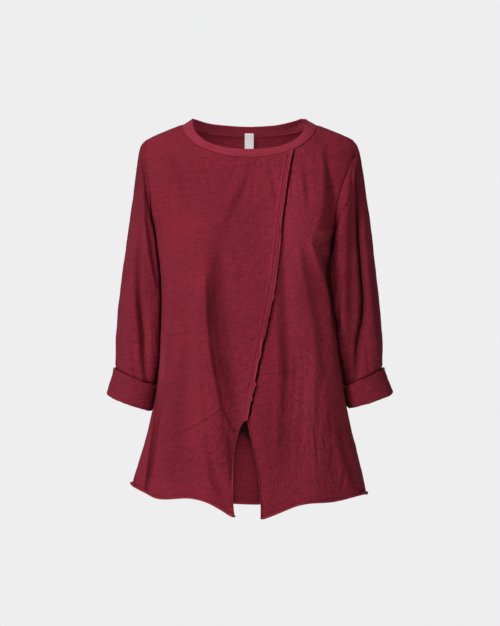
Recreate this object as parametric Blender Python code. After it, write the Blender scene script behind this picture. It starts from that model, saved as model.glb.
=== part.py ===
"""Long-sleeved jersey t-shirt, hollow and filled out as worn, its sleeves hanging and its cuffs turned up.

Every cloth piece is a thin closed wall. Its outer face is a grid of points on one shared body surface
or on a sleeve surface, with the large folds pushed in or out, and its inner face lies WALL deeper.
Tables are in millimetres. X runs to the viewer's right, the front faces -Y and Z is up. The origin is
midway between the two high shoulder points, so a "drop" is a distance straight down from them.
"""

from collections import namedtuple

import bmesh
import bpy
import numpy as np

# ---------------------------------------------------------------- driving dimensions, millimetres
METRE = 0.001           # one millimetre, in metres
WALL = 1.5              # cloth wall of the panels and sleeves
SEAM_GAP = 0.5          # between two pieces that are sewn edge to edge
ARMHOLE_GAP = 0.8       # sideways, between a panel's armhole edge and the sleeve
SLEEVE_HEAD = 0.2       # share of the sleeve's rings that still follow the armhole, front to back
LAY_GAP = 0.35          # between a piece and the panel it lies on
BAND_WALL = 2.0         # folded neckband
BAND_PROUD = 0.4        # how far the middle of the neckband stands above the panels
STRIP_WALL = 1.3        # lapped raw edge beside the front seam
STRIP_HALF = 5.0        # half the width of that lap
STRIP_SHORT = 0.06      # share of its first step by which the lap stops short of the neckband
LAP_ANGLE = 3.0         # half its width at the neckline, in degrees round the neck
CUFF_WALL = 2.6         # two layers of cloth
CUFF_CLEAR = 0.6        # between the sleeve and the cuff turned up over it
CUFF_BULGE = 0.6        # how far the cuff rounds out at mid height
CUFF_ROUNDING = (0.0, 0.7, 1.0, 0.7)    # share of that bulge at each of the cuff's rings
FOOT_GAP = 0.9          # between the sleeve's end and the cuff's foot, which closes in under it
FOOT_HANG = 2.3         # how far the cuff's foot hangs below the sleeve's end
FOOT_SHOULDER = 0.2     # and where the foot begins to close in
FOOT_ROUND = 1.2        # how far its outer corner is rounded in
LABEL_HALF = 8.5        # half the width of the back-neck label
LABEL_TOP, LABEL_FOOT = 24.5, 74.0      # drops of its ends
LABEL_WALL = 1.0
LABEL_HANG = 5.0        # how far its foot hangs forward of the back panel
SHOULDER_ROUND = 90.0   # drop over which the shoulder rounds from its ridge to the chest
SECTION_POWER = 2.3     # body sections: 2 is an ellipse, more is boxier
SLEEVE_POWER = 2.15
SHOULDER_TIP = 40.0     # drop of the top of the armhole
ARMPIT = 206.0          # drop of its foot
SLIT_TOP = 564.0        # drop where the slanting seam opens into the slit
BODY_CLEAR = 2.5        # between a hanging sleeve and the body
CUFF_COMES = 0.76       # share of the sleeve's length where it begins to make room for the cuff
CUFF_THERE = 0.86       # and where it has made it
SQUARE_SPREAD = 1.8     # how far down the armhole the sleeve's edge stays square with the panels' edge
SEAM_STILL = 0.12       # share of a half section, beside its side seam, where the folds die out
HEM_ROUNDS = 6          # rounds in which a hem point's drop and side settle
SHARP_ANGLE = 50.0      # degrees between two faces from which their edge is shaded sharp

# Grid counts.
ARM_ROWS = 12           # from the shoulder tip to the armpit
SIDE_ROWS = 22          # from the armpit to the hem
SLIT_ROWS = 10          # of all rows, those beside the slit
SLIT_ROUND = 1.5        # above 1 these rows stand closer at the slit's rounded top
SHOULDER_COLUMNS = 4
MAIN_NECK_COLUMNS = 14  # the larger front panel's part of the neckline
SIDE_NECK_COLUMNS = 6
BACK_NECK_COLUMNS = 18
SLEEVE_RINGS = 17       # down to the top of the cuff
CUFF_RINGS = 4

LEFT, RIGHT = -1, 1
FRONT, BACK = -1, 1

# ---------------------------------------------------------------- tables
# Body sections: half widths to the viewer's left and right, depths of the front and the back.
# Above the armpit the widths are those of the surface that the armholes are cut from.
Section = namedtuple("Section", "drop left right front back")
BODY = [
    Section(0, 209, 209, 62, 50),
    Section(40, 211, 210, 72, 66),
    Section(90, 210, 206, 84, 85),
    Section(149, 200, 190, 98, 97),
    Section(180, 191, 177, 105, 102),
    Section(206, 181, 167, 110, 104),
    Section(250, 174, 157, 117, 104),
    Section(290, 168, 150, 120, 102),
    Section(335, 166, 154, 119, 101),
    Section(385, 167, 163, 117, 103),
    Section(450, 170, 171, 118, 108),
    Section(520, 177, 180, 122, 116),
    Section(570, 187, 189, 127, 123),
    Section(625, 202, 203, 132, 131),
    Section(690, 222, 218, 138, 139),
    Section(760, 240, 232, 145, 148),
]

# Ridge of the shoulder, seen from the front: how far it has dropped at each distance from the middle.
Ridge = namedtuple("Ridge", "side drop")
SHOULDER = [
    Ridge(0, 0), Ridge(60, 0), Ridge(107, 1), Ridge(126, 10), Ridge(143, 17.5),
    Ridge(164, 25.5), Ridge(183, 33.5), Ridge(194, 40), Ridge(204, 50), Ridge(213, 70),
]

# Armhole seams, seen from the front: distance from the middle at each drop.
Armhole = namedtuple("Armhole", "drop left right")
ARMHOLES = [
    Armhole(40, 194, 194), Armhole(60, 197, 196), Armhole(90, 195, 189), Armhole(112, 190, 179),
    Armhole(135, 187, 171.5), Armhole(160, 184.5, 166), Armhole(185, 182, 164), Armhole(206, 181, 165),
]

# Neckline: half width and depths of the band's outer and inner edges, below where they cross the ridge.
NeckEdge = namedtuple("NeckEdge", "half_width crossing front back front_power back_power")
NECK_OUTER = NeckEdge(127, 10.5, 66.5, 21.5, 2.0, 1.8)
NECK_INNER = NeckEdge(107, 1.0, 60.0, 13.0, 2.4, 1.6)

# Slanting front seam, from the neckline to the slit, and the two edges of the slit.
Across = namedtuple("Across", "drop side")
FRONT_SEAM = [
    Across(63, 79), Across(104, 70), Across(202, 57), Across(292, 48), Across(373, 33),
    Across(447, 17), Across(503, 5.5), Across(564, -6),
]
SLIT_LEFT = [Across(564, -8), Across(567, -13), Across(572, -16), Across(581, -19.4), Across(600, -24.5),
             Across(618, -27.6), Across(648, -30.5), Across(700, -31.5), Across(740, -27.5)]
SLIT_RIGHT = [Across(564, -4.5), Across(567, -3), Across(572, -1.8), Across(590, 1.3), Across(600, 3.7),
              Across(618, 8), Across(659, 17), Across(700, 21), Across(744, 21.5)]

# Hems, seen from the front.
Hem = namedtuple("Hem", "side drop")
HEM_MAIN = [Hem(-222, 686), Hem(-204, 695), Hem(-181, 708), Hem(-149, 709), Hem(-110, 706),
            Hem(-78, 713), Hem(-55, 725), Hem(-38, 736), Hem(-28, 740)]
HEM_SIDE = [Hem(22, 744), Hem(38, 742), Hem(56, 733), Hem(81, 720), Hem(112, 715), Hem(153, 715),
            Hem(187, 709), Hem(209, 704), Hem(220, 704)]
HEM_BACK = [Hem(-222, 686), Hem(-150, 712), Hem(-80, 727), Hem(0, 734), Hem(80, 730), Hem(150, 719),
            Hem(220, 704)]

# Neckband, from its outer edge to its inner one: share of its width, and share of BAND_PROUD.
BandRing = namedtuple("BandRing", "share lift")
BAND = [BandRing(0.045, 0.0), BandRing(0.35, 1.0), BandRing(0.68, 1.0), BandRing(1.0, 0.3)]

# Large folds of the body: a line from one place to another, how deep it is (less than 0 goes in)
# and how wide to each side.
Fold = namedtuple("Fold", "face top_side top_drop low_side low_drop depth width")
FOLDS = [
    Fold(FRONT, 8, 90, -44, 250, -4.5, 18),
    Fold(FRONT, 150, 70, 156, 200, -6.0, 13),
    Fold(FRONT, 108, 90, 110, 190, -2.5, 15),
    Fold(FRONT, -56, 250, -28, 650, -7.5, 24),
    Fold(FRONT, -94, 280, -70, 760, 6.0, 22),
    Fold(FRONT, -118, 320, -136, 730, -4.0, 16),
    Fold(FRONT, -148, 290, -168, 600, -4.5, 14),
    Fold(FRONT, -172, 560, -190, 760, -9.0, 15),
    Fold(FRONT, -14, 420, -2, 560, 3.0, 20),
    Fold(FRONT, 64, 330, 70, 660, -4.5, 15),
    Fold(FRONT, 106, 255, 142, 480, -6.0, 15),
    Fold(FRONT, 138, 226, 158, 340, -5.0, 12),
    Fold(FRONT, 96, 480, 104, 760, 5.5, 24),
    Fold(FRONT, 146, 520, 190, 760, -6.0, 15),
    Fold(BACK, -70, 180, -82, 760, -7.0, 26),
    Fold(BACK, -20, 240, -24, 760, 6.0, 28),
    Fold(BACK, 42, 200, 58, 760, -7.0, 24),
    Fold(BACK, 108, 300, 132, 760, 6.0, 24),
    Fold(BACK, -130, 330, -158, 760, 5.0, 20),
]
FOLD_FADE = 70.0        # drop over which a fold comes and goes

# Sleeve rings from the armhole to the cuff's foot: the ring's outer and inner points seen from the
# front, where its middle lies front to back, half its depth, and how much lower its front is.
Ring = namedtuple("Ring", "outer_side outer_drop inner_side inner_drop middle half_depth dip")
SLEEVE_LEFT = [
    Ring(202, 48, 181, 211, 0, 47, 0),
    Ring(208, 63, 178, 217, 2, 52, 0),
    Ring(212.5, 97, 172, 228, 4, 56, 0),
    Ring(218.5, 142, 166, 246, 8, 58, 1),
    Ring(228, 210, 160, 280, 13, 58, 1),
    Ring(239.5, 290, 153, 326, 17, 58, 2),
    Ring(249, 365, 154, 388, 20, 56, 3),
    Ring(253.5, 425, 162, 452, 21, 54, 5),
    Ring(253, 470, 170, 503, 21, 52, 8),
    Ring(266, 516, 178, 547, 21, 51, 10),
]
SLEEVE_RIGHT = [
    Ring(202, 48, 167, 211, 0, 50, 0),
    Ring(208, 63, 164, 217, 2, 54, 0),
    Ring(213.5, 97, 158, 228, 4, 57, 0),
    Ring(220.5, 142, 150, 246, 8, 58, 1),
    Ring(230, 210, 143, 280, 13, 58, 1),
    Ring(240, 290, 142, 326, 17, 57, 2),
    Ring(248.5, 365, 148, 388, 20, 55, 3),
    Ring(253, 425, 160, 452, 21, 54, 5),
    Ring(252, 470, 170, 504, 21, 52, 8),
    Ring(268, 514, 180, 541, 21, 51, 10),
]

# Lengthwise folds of the sleeves: where they lie round the arm in degrees (0 outside, 90 in front).
Crease = namedtuple("Crease", "side angle top_drop low_drop depth width")
CREASES = [
    Crease(LEFT, 112, 150, 480, -7.5, 20),
    Crease(LEFT, 66, 260, 460, 3.5, 24),
    Crease(LEFT, 28, 330, 470, -4.0, 18),
    Crease(LEFT, 255, 200, 450, -5.0, 22),
    Crease(LEFT, 320, 120, 400, 3.0, 26),
    Crease(RIGHT, 80, 80, 480, -8.0, 19),
    Crease(RIGHT, 52, 200, 440, 3.0, 18),
    Crease(RIGHT, 28, 240, 470, -4.5, 18),
    Crease(RIGHT, 250, 200, 450, -5.0, 22),
    Crease(RIGHT, 315, 140, 420, 3.0, 26),
]

JERSEY = (0.178, 0.021, 0.035, 1.0)
JERSEY_EDGE = (0.225, 0.030, 0.047, 1.0)
LABEL_WHITE = (0.72, 0.71, 0.68, 1.0)
CLOTH_ROUGHNESS = 0.85


# ---------------------------------------------------------------- curves and surfaces
def smooth(knots, values, at):
    """A smooth curve through a table's rows, read at any place; past an end it keeps the end's value."""
    knots = np.asarray(knots, float)
    values = np.asarray(values, float)
    slopes = np.gradient(values, knots)
    at = np.clip(at, knots[0], knots[-1])
    low = np.clip(np.searchsorted(knots, at) - 1, 0, len(knots) - 2)
    step = knots[low + 1] - knots[low]
    t = (at - knots[low]) / step
    from_low = (1 + 2 * t) * values[low] + t * step * slopes[low]
    from_high = (3 - 2 * t) * values[low + 1] + (t - 1) * step * slopes[low + 1]
    return (1 - t) ** 2 * from_low + t ** 2 * from_high


def read(table, key, value, at):
    """One named column of a table, read against another."""
    return smooth([getattr(row, key) for row in table], [getattr(row, value) for row in table], at)


def fade(t):
    """0 below 0, 1 above 1, and a smooth step between."""
    t = np.clip(t, 0, 1)
    return t * t * (3 - 2 * t)


def half_width(side, drop):
    return np.where(side < 0, read(BODY, "drop", "left", drop), read(BODY, "drop", "right", drop))


def depth(face, drop):
    return read(BODY, "drop", "front" if face == FRONT else "back", drop)


def rounding(side, drop):
    """0 on the shoulder ridge, rising along a quarter circle to 1 at the chest."""
    below = (drop - read(SHOULDER, "side", "drop", np.abs(side))) / SHOULDER_ROUND
    below = np.clip(below, 0, 1)
    return np.sqrt(1 - (1 - below) ** 2)


def turn_of(side, drop):
    """How far round the section a place lies: 0 in the middle, 1 at the side seam."""
    share = np.clip(np.abs(side) / half_width(side, drop), 0, 1)
    return np.sign(side) * np.arcsin(share ** (SECTION_POWER / 2)) / (np.pi / 2)


def plain_body(turn, drop, face):
    """The body surface without folds."""
    angle = np.clip(np.abs(turn), 0, 1) * np.pi / 2
    side = np.sign(turn) * half_width(turn, drop) * np.sin(angle) ** (2 / SECTION_POWER)
    out = depth(face, drop) * np.clip(np.cos(angle), 0, 1) ** (2 / SECTION_POWER)
    return np.stack([side, face * out * rounding(side, drop), -drop], axis=-1)


def fold_height(side, drop, face):
    """How far the folds push the surface out at a place, all of them together."""
    height = np.zeros_like(side)
    for fold in FOLDS:
        if fold.face != face:
            continue
        run = (drop - fold.top_drop) / (fold.low_drop - fold.top_drop)
        line = fold.top_side + (fold.low_side - fold.top_side) * run
        ends = fade((drop - fold.top_drop) / FOLD_FADE) * fade((fold.low_drop + FOLD_FADE - drop) / FOLD_FADE)
        height += fold.depth * ends * np.exp(-((side - line) / fold.width) ** 2)
    return height


def body(turn, drop, face):
    """The body surface with its folds, pushed straight out from each level section."""
    point = plain_body(turn, drop, face)
    step = 0.01
    along = plain_body(turn + step, drop, face) - plain_body(turn - step, drop, face)
    out = np.stack([face * -along[..., 1], face * along[..., 0], np.zeros_like(drop)], axis=-1)
    out /= np.maximum(np.linalg.norm(out, axis=-1, keepdims=True), 1e-9)
    still = fade((1 - np.abs(turn)) / SEAM_STILL)
    height = fold_height(point[..., 0], drop, face) * still
    return point + out * height[..., None]


def body_out(turn, drop, face):
    """The outward direction of the body surface."""
    turn_step, drop_step = 0.004, 0.8
    along = body(turn + turn_step, drop, face) - body(turn - turn_step, drop, face)
    down = body(turn, drop + drop_step, face) - body(turn, drop - drop_step, face)
    out = np.cross(down, along) * -face
    return out / np.maximum(np.linalg.norm(out, axis=-1, keepdims=True), 1e-9)


# ---------------------------------------------------------------- walls
def directions(grid, around=False):
    """The outward direction at each point of a grid whose rows run down and columns run to the right
    as seen from outside."""
    down = np.gradient(grid, axis=0)
    if around:
        across = np.roll(grid, -1, axis=1) - np.roll(grid, 1, axis=1)
    else:
        across = np.gradient(grid, axis=1)
    out = np.cross(down, across)
    return out / np.maximum(np.linalg.norm(out, axis=-1, keepdims=True), 1e-9)


def level_off(out, rows, columns):
    """Takes the front-to-back part out of the outward direction on a seam between front and back, so
    that both pieces end in the same plane."""
    flat = out[rows, columns]
    flat[..., 1] = 0
    out[rows, columns] = flat / np.linalg.norm(flat, axis=-1, keepdims=True)


def ease_edges(grid):
    """Draws a panel's top and side edges in along the cloth, by half a seam gap each."""
    grid = grid.copy()
    for edge, inner in (
        ((0, slice(None)), (1, slice(None))),
        ((slice(None), 0), (slice(None), 1)),
        ((slice(None), -1), (slice(None), -2)),
    ):
        inward = grid[inner] - grid[edge]
        length = np.maximum(np.linalg.norm(inward, axis=-1, keepdims=True), 1e-9)
        grid[edge] = grid[edge] + inward / length * np.minimum(SEAM_GAP / 2, length / 3)
    return grid


def material(name, colour):
    made = bpy.data.materials.new(name)
    made.use_nodes = True
    shader = made.node_tree.nodes["Principled BSDF"]
    shader.inputs["Base Color"].default_value = colour
    shader.inputs["Roughness"].default_value = CLOTH_ROUGHNESS
    shader.inputs["Metallic"].default_value = 0.0
    made.diffuse_color = colour
    return made


def wall(name, outer, inner, finish, around=False):
    """One closed solid between two grids of points: both faces, and strips along the open edges."""
    rows, columns = outer.shape[:2]
    form = bmesh.new()
    faces = [[[form.verts.new(point * METRE) for point in row] for row in grid] for grid in (outer, inner)]
    last = columns if around else columns - 1
    for row in range(rows - 1):
        for column in range(last):
            beside = (column + 1) % columns
            for sheet in faces:
                form.faces.new((sheet[row][column], sheet[row + 1][column],
                                sheet[row + 1][beside], sheet[row][beside]))
    out, into = faces
    for row in (0, rows - 1):
        for column in range(last):
            beside = (column + 1) % columns
            form.faces.new((out[row][column], out[row][beside], into[row][beside], into[row][column]))
    if not around:
        for column in (0, columns - 1):
            for row in range(rows - 1):
                form.faces.new((out[row][column], out[row + 1][column],
                                into[row + 1][column], into[row][column]))
    bmesh.ops.recalc_face_normals(form, faces=form.faces)
    if form.calc_volume(signed=True) < 0:
        bmesh.ops.reverse_faces(form, faces=form.faces)
    mesh = bpy.data.meshes.new(name)
    form.to_mesh(mesh)
    form.free()
    mesh.shade_smooth()
    mesh.set_sharp_from_angle(angle=np.radians(SHARP_ANGLE))
    mesh.materials.append(finish)
    piece = bpy.data.objects.new(name, mesh)
    bpy.context.scene.collection.objects.link(piece)
    return piece


# ---------------------------------------------------------------- edges of the panels
def neck_edge(edge, angle):
    """Side and drop of a point on an edge of the neckband: 0 in the middle of the front, 180 behind."""
    front = np.cos(angle) >= 0
    power = np.where(front, edge.front_power, edge.back_power)
    side = edge.half_width * np.sign(np.sin(angle)) * np.abs(np.sin(angle)) ** (2 / power)
    down = np.where(front, edge.front, edge.back) * np.abs(np.cos(angle)) ** (2 / power)
    return side, edge.crossing + down


def side_drops(side_hem):
    """Drops of the rows on an armhole and the side seam below it."""
    arm = np.arange(ARM_ROWS) / ARM_ROWS
    arm_drops = SHOULDER_TIP + (ARMPIT - SHOULDER_TIP) * (1 - np.cos(np.pi * arm)) / 2
    return np.concatenate([arm_drops, np.linspace(ARMPIT, side_hem, SIDE_ROWS + 1)])


def side_edge(hand, side_hem):
    """(turn, drop) down an armhole and its side seam."""
    drops = side_drops(side_hem)
    column = "left" if hand == LEFT else "right"
    side = hand * read(ARMHOLES, "drop", column, drops)
    turn = turn_of(side, drops)
    turn[ARM_ROWS:] = hand
    return np.stack([turn, drops], axis=-1)


def seam_edge_line(slit, hem_drop):
    """(turn, drop) down the slanting seam and on along one edge of the slit."""
    rows = ARM_ROWS + SIDE_ROWS
    seam_drops = np.linspace(FRONT_SEAM[0].drop, SLIT_TOP, rows - SLIT_ROWS + 1)
    slit_drops = SLIT_TOP + (hem_drop - SLIT_TOP) * np.linspace(0, 1, SLIT_ROWS + 1)[1:] ** SLIT_ROUND
    drops = np.concatenate([seam_drops, slit_drops])
    sides = np.concatenate([read(FRONT_SEAM, "drop", "side", seam_drops),
                            read(slit, "drop", "side", slit_drops)])
    return np.stack([turn_of(sides, drops), drops], axis=-1)


def shoulder_edge(hand, count):
    """(turn, drop) along the shoulder ridge from the armhole to the neckline, ends included."""
    sides = np.linspace(ARMHOLES[0].left, NECK_OUTER.half_width, count + 1)
    drops = read(SHOULDER, "side", "drop", sides)
    drops[0] = SHOULDER_TIP
    drops[-1] = NECK_OUTER.crossing
    return np.stack([turn_of(hand * sides, drops), drops], axis=-1)


def neck_angles():
    """The angles, in degrees, of the grid lines that meet the neckline on each of its three stretches."""
    seam = np.degrees(np.arcsin(FRONT_SEAM[0].side / NECK_OUTER.half_width))
    return (np.linspace(-90, seam - LAP_ANGLE, MAIN_NECK_COLUMNS + 1),
            np.linspace(seam + LAP_ANGLE, 90, SIDE_NECK_COLUMNS + 1),
            np.linspace(90, 270, BACK_NECK_COLUMNS + 1), seam)


def neck_run(angles):
    """(turn, drop) along the neckline at the given angles."""
    side, drop = neck_edge(NECK_OUTER, np.radians(angles))
    return np.stack([turn_of(side, drop), drop], axis=-1)


def hem_edge(table, turns):
    """(turn, drop) along a hem at the given turns; the drop is found from where each turn comes out."""
    drops = np.full(len(turns), table[0].drop, float)
    for _ in range(HEM_ROUNDS):
        sides = plain_body(turns, drops, FRONT)[:, 0]
        drops = read(table, "side", "drop", sides)
    return np.stack([turns, drops], axis=-1)


def shares(curve):
    """How far along a curve each of its points lies, from 0 to 1."""
    steps = np.linalg.norm(np.diff(curve, axis=0), axis=1)
    return np.concatenate([[0], np.cumsum(steps)]) / steps.sum()


def patch(top, bottom, left, right):
    """A grid of (turn, drop) that meets four edges, each row blended between left and right and each
    column between top and bottom."""
    across = (shares(top) + shares(bottom)) / 2
    down = (shares(left) + shares(right)) / 2
    u = across[None, :, None]
    v = down[:, None, None]
    between_sides = (1 - u) * left[:, None] + u * right[:, None]
    between_ends = (1 - v) * top[None] + v * bottom[None]
    corners = ((1 - v) * ((1 - u) * top[0] + u * top[-1]) + v * ((1 - u) * bottom[0] + u * bottom[-1]))
    return between_sides + between_ends - corners


def lap_column(edge, hand):
    """The (turn, drop) column that runs beside a seam, half the lap's width into one panel."""
    turn, drop = edge[:, 0], edge[:, 1]
    side = plain_body(turn, drop, FRONT)[:, 0] + hand * STRIP_HALF
    return np.stack([turn_of(side, drop), drop], axis=-1)


# ---------------------------------------------------------------- panels
def main_front_grid():
    left = side_edge(LEFT, HEM_MAIN[0].drop)
    seam = seam_edge_line(SLIT_LEFT, HEM_MAIN[-1].drop)
    lap = lap_column(seam, LEFT)
    neck, _, _, start = neck_angles()
    top = np.concatenate([shoulder_edge(LEFT, SHOULDER_COLUMNS), neck_run(neck)[1:]])
    lap[0] = top[-1]
    seam[0] = neck_run(start)
    turns = left[-1, 0] + (lap[-1, 0] - left[-1, 0]) * shares(top)
    bottom = hem_edge(HEM_MAIN, turns)
    bottom[0] = left[-1]
    bottom[-1, 1] = lap[-1, 1]
    return np.concatenate([patch(top, bottom, left, lap), seam[:, None]], axis=1)


def small_front_grid():
    right = side_edge(RIGHT, HEM_SIDE[-1].drop)
    seam = seam_edge_line(SLIT_RIGHT, HEM_SIDE[0].drop)
    lap = lap_column(seam, RIGHT)
    _, neck, _, start = neck_angles()
    top = np.concatenate([neck_run(neck), shoulder_edge(RIGHT, SHOULDER_COLUMNS)[::-1][1:]])
    lap[0] = top[0]
    seam[0] = neck_run(start)
    turns = lap[-1, 0] + (right[-1, 0] - lap[-1, 0]) * shares(top)
    bottom = hem_edge(HEM_SIDE, turns)
    bottom[-1] = right[-1]
    bottom[0, 1] = lap[-1, 1]
    return np.concatenate([seam[:, None], patch(top, bottom, lap, right)], axis=1)


def back_grid():
    """Seen from behind, so its columns run from the right side seam to the left one."""
    left = side_edge(LEFT, HEM_MAIN[0].drop)
    right = side_edge(RIGHT, HEM_SIDE[-1].drop)
    neck = neck_angles()[2]
    top = np.concatenate([shoulder_edge(RIGHT, SHOULDER_COLUMNS), neck_run(neck)[1:-1],
                          shoulder_edge(LEFT, SHOULDER_COLUMNS)[::-1]])
    bottom = hem_edge(HEM_BACK, right[-1, 0] + (left[-1, 0] - right[-1, 0]) * shares(top))
    bottom[0] = right[-1]
    bottom[-1] = left[-1]
    return patch(top, bottom, right, left)


def panel(name, cells, face, finish, seams):
    """A body panel from its grid of (turn, drop); seams are its edges between front and back."""
    grid = ease_edges(body(cells[..., 0], cells[..., 1], face))
    out = body_out(cells[..., 0], cells[..., 1], face)
    for rows, columns in seams:
        level_off(out, rows, columns)
    wall(name, grid, grid - out * WALL, finish)
    return grid, out


# ---------------------------------------------------------------- sleeves
def clear_of_body(points, clearance):
    """Moves points sideways, away from the middle, until they stand clear of the body."""
    points = points.copy()
    drop = -points[..., 2]
    for face in (FRONT, BACK):
        reach = np.clip(np.abs(points[..., 1]) / depth(face, drop), 0, 1)
        edge = half_width(points[..., 0], drop) * (1 - reach ** SECTION_POWER) ** (1 / SECTION_POWER)
        here = (np.sign(points[..., 1]) == face) & (reach < 1) & (drop > ARMPIT)
        least = np.where(here, edge + clearance, 0)
        points[..., 0] = np.sign(points[..., 0]) * np.maximum(np.abs(points[..., 0]), least)
    return points


def sleeve_rings(hand, table, stations, clearance):
    """Rings of points on a sleeve at stations from 0, the first row of the table, to 1, the last."""
    keys = np.linspace(0, 1, len(table))
    row = {name: smooth(keys, [getattr(ring, name) for ring in table], stations)[:, None]
           for name in Ring._fields}
    angle = (np.arange(2 * ARM_ROWS) / ARM_ROWS * np.pi)[None]
    reach = np.sign(np.cos(angle)) * np.abs(np.cos(angle)) ** (2 / SLEEVE_POWER)
    ahead = np.sign(np.sin(angle)) * np.abs(np.sin(angle)) ** (2 / SLEEVE_POWER)
    side = (row["outer_side"] * (1 + reach) + row["inner_side"] * (1 - reach)) / 2
    drop = (row["outer_drop"] * (1 + reach) + row["inner_drop"] * (1 - reach)) / 2 + row["dip"] / 2 * ahead
    middle = row["middle"] - row["half_depth"] * ahead
    for crease in CREASES:
        if crease.side != hand:
            continue
        away = (np.degrees(angle) - crease.angle + 180) % 360 - 180
        ends = fade((drop - crease.top_drop) / FOLD_FADE) * fade((crease.low_drop - drop) / FOLD_FADE)
        push = crease.depth * ends * np.exp(-(away / crease.width) ** 2)
        side = side + push * np.cos(angle)
        middle = middle - push * np.sin(angle)
    points = np.stack([hand * side, middle, -drop], axis=-1)
    return clear_of_body(points, clearance)


def cuff_stations(table):
    """Where the cuff's own rings lie on the sleeve: from the last row but one to the last."""
    return np.linspace((len(table) - 2) / (len(table) - 1), 1, CUFF_RINGS + 1)


def sleeve(name, hand, table, armhole, armhole_out, finish):
    """A tube from the armhole's own points to the foot of the cuff. Over the shoulder its edge is cut
    square with the panels' edge."""
    turned = cuff_stations(table)
    stations = np.concatenate([np.linspace(0, turned[0], SLEEVE_RINGS), turned[1:]])
    room = fade((stations - CUFF_COMES) / (CUFF_THERE - CUFF_COMES))[:, None]
    clearance = BODY_CLEAR + (CUFF_WALL + CUFF_CLEAR + CUFF_BULGE) * room
    rings = sleeve_rings(hand, table, stations, clearance)
    angle = np.arange(2 * ARM_ROWS) / ARM_ROWS * np.pi
    square = fade(SQUARE_SPREAD * np.cos(angle))[:, None]
    start = armhole + np.array([hand * ARMHOLE_GAP, 0, 0])
    follow = 1 - fade(stations / SLEEVE_HEAD)
    rings[..., 1] += (start[:, 1] - rings[0, :, 1]) * follow[:, None]
    grid = np.concatenate([start[None], rings])
    out = directions(grid, around=True)
    if hand == RIGHT:
        out = -out
    out[0] = armhole_out * square + out[0] * (1 - square)
    wall(name, grid, grid - out * WALL, finish, around=True)


def cuff(name, hand, table, finish):
    """A turned-up end: a thicker ring outside the sleeve, whose foot closes in under the sleeve's end."""
    clearance = BODY_CLEAR + CUFF_WALL + CUFF_CLEAR + CUFF_BULGE
    rings = sleeve_rings(hand, table, cuff_stations(table), clearance)
    out = directions(rings, around=True) * -hand
    down = rings[-1] - rings[-2]
    down /= np.linalg.norm(down, axis=-1, keepdims=True)
    far = CUFF_CLEAR + CUFF_WALL
    foot = rings[-1]
    outer = []
    inner = []
    for ring, ring_out, share in zip(rings, out, CUFF_ROUNDING):
        outer.append(ring + ring_out * (far + share * CUFF_BULGE))
        inner.append(ring + ring_out * CUFF_CLEAR)
    outer.append(foot + out[-1] * far + down * FOOT_SHOULDER)
    inner.append(foot + out[-1] * CUFF_CLEAR + down * FOOT_SHOULDER)
    outer.append(foot + out[-1] * (far - FOOT_ROUND) + down * FOOT_HANG)
    inner.append(foot - out[-1] * WALL + down * FOOT_GAP)
    wall(name, np.array(outer), np.array(inner), finish, around=True)


# ---------------------------------------------------------------- pieces that lie on the panels
def neckband(finish):
    """A folded strip round the neck, its two edges run together on the body surface."""
    larger, smaller, rear, seam = neck_angles()
    angle = np.radians(np.concatenate([larger, [seam], smaller, rear[1:-1]]))
    outer_side, outer_drop = neck_edge(NECK_OUTER, angle)
    inner_side, inner_drop = neck_edge(NECK_INNER, angle)
    share = np.array([ring.share for ring in BAND])[:, None]
    side = outer_side + (inner_side - outer_side) * share
    drop = outer_drop + (inner_drop - outer_drop) * share
    turn = turn_of(side, drop)
    ahead = (np.cos(angle) > 1e-6)[None, :, None]
    grid = np.where(ahead, plain_body(turn, drop, FRONT), plain_body(turn, drop, BACK))
    out = np.where(ahead, body_out(turn, drop, FRONT), body_out(turn, drop, BACK))
    level_off(out, slice(None), np.abs(np.cos(angle)) < 1e-6)
    lift = np.array([ring.lift for ring in BAND])[:, None, None] * BAND_PROUD
    wall("neckband", grid + out * lift, grid - out * (BAND_WALL - BAND_PROUD), finish, around=True)


def lapped_strip(main, main_out, small, small_out, finish):
    """The raw lap on the slanting seam: the panels' own columns beside it, moved out."""
    rows = ARM_ROWS + SIDE_ROWS - SLIT_ROWS + 1
    middle = (main[:rows, -1] + small[:rows, 0]) / 2
    points = np.stack([main[:rows, -2], middle, small[:rows, 1]], axis=1)
    middle_out = main_out[:rows, -1] + small_out[:rows, 0]
    out = np.stack([main_out[:rows, -2], middle_out, small_out[:rows, 1]], axis=1)
    out /= np.linalg.norm(out, axis=-1, keepdims=True)
    points[0] += (points[1] - points[0]) * STRIP_SHORT
    wall("seam_edge", points + out * (LAY_GAP + STRIP_WALL), points + out * LAY_GAP, finish)


def label(finish):
    """A folded tape inside the back of the neck, sewn on at its top and hanging a little free below."""
    sides = np.linspace(-LABEL_HALF, LABEL_HALF, 4)
    drops = np.linspace(LABEL_TOP, LABEL_FOOT, 6)
    side, drop = np.meshgrid(sides, drops)
    grid = plain_body(turn_of(side, drop), drop, BACK)
    out = -directions(grid)
    out *= np.sign(out[..., 1:2])
    free = np.linspace(0, LABEL_HANG, len(drops))[:, None, None]
    near = grid - out * (WALL + 2 * LAY_GAP) - free * np.array([0, 1, 0])
    wall("label", near, near - out * LABEL_WALL, finish)


# ---------------------------------------------------------------- build
for old in list(bpy.data.objects):
    bpy.data.objects.remove(old)

jersey = material("garment_dyed_jersey", JERSEY)
edge = material("jersey_edge", JERSEY_EDGE)
tape = material("woven_tape", LABEL_WHITE)

ridge_left = (0, slice(0, SHOULDER_COLUMNS + 1))
ridge_right = (0, slice(-SHOULDER_COLUMNS - 1, None))
seam_first = (slice(ARM_ROWS, None), 0)
seam_last = (slice(ARM_ROWS, None), -1)

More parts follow.
